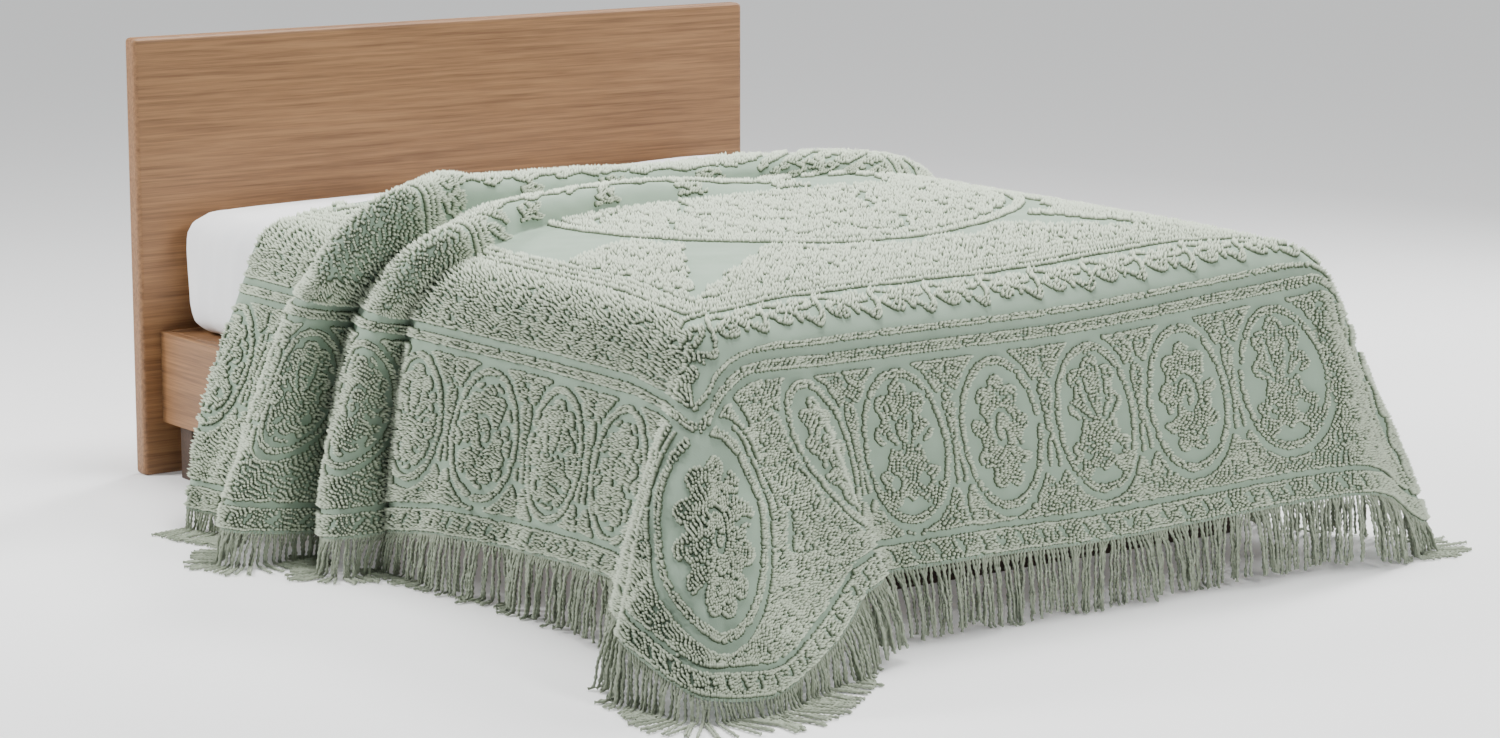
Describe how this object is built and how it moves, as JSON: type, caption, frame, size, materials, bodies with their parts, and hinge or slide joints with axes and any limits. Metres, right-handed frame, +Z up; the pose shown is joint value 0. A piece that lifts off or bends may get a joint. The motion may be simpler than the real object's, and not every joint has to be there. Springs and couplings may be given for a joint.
{
  "type": "fringed chenille bedspread on a bed",
  "caption": "Chenille bedspread with raised scroll pile and a long twisted fringe, draped over the mattress of a plain wooden bed with a flat headboard, with folds across its head end.",
  "frame": {"origin": "middle of the bottom of the whole object's box, on the floor", "axes": "+X to the right across the bed seen from its foot, +Y from the foot to the headboard, +Z up"},
  "size_m": [2.2426, 2.6486, 0.987],
  "materials": {
    "sage_chenille": "matt woven cotton with raised tufted pile, sage green",
    "twisted_cord": "matt twisted cotton cord, grey green",
    "white_sheet": "smooth white cotton sheet",
    "brown_wood": "satin mid-brown wood with fine grain",
    "dark_wood": "satin dark brown wood"
  },
  "bodies": {
    "root": {"bedspread": "sage_chenille", "deck": "brown_wood", "foot_rail": "brown_wood", "fringe_far_corner_front": "twisted_cord", "fringe_far_corner_side": "twisted_cord", "fringe_foot": "twisted_cord", "fringe_left_back": "twisted_cord", "fringe_left_fold": "twisted_cord", "fringe_left_side": "twisted_cord", "fringe_near_corner_front": "twisted_cord", "fringe_near_corner_side": "twisted_cord", "fringe_right_back": "twisted_cord", "fringe_right_side": "twisted_cord", "headboard": "brown_wood", "mattress": "white_sheet", "plinth_foot": "dark_wood", "plinth_head": "dark_wood", "side_rail_left": "brown_wood", "side_rail_right": "brown_wood"}
  },
  "joints": []
}
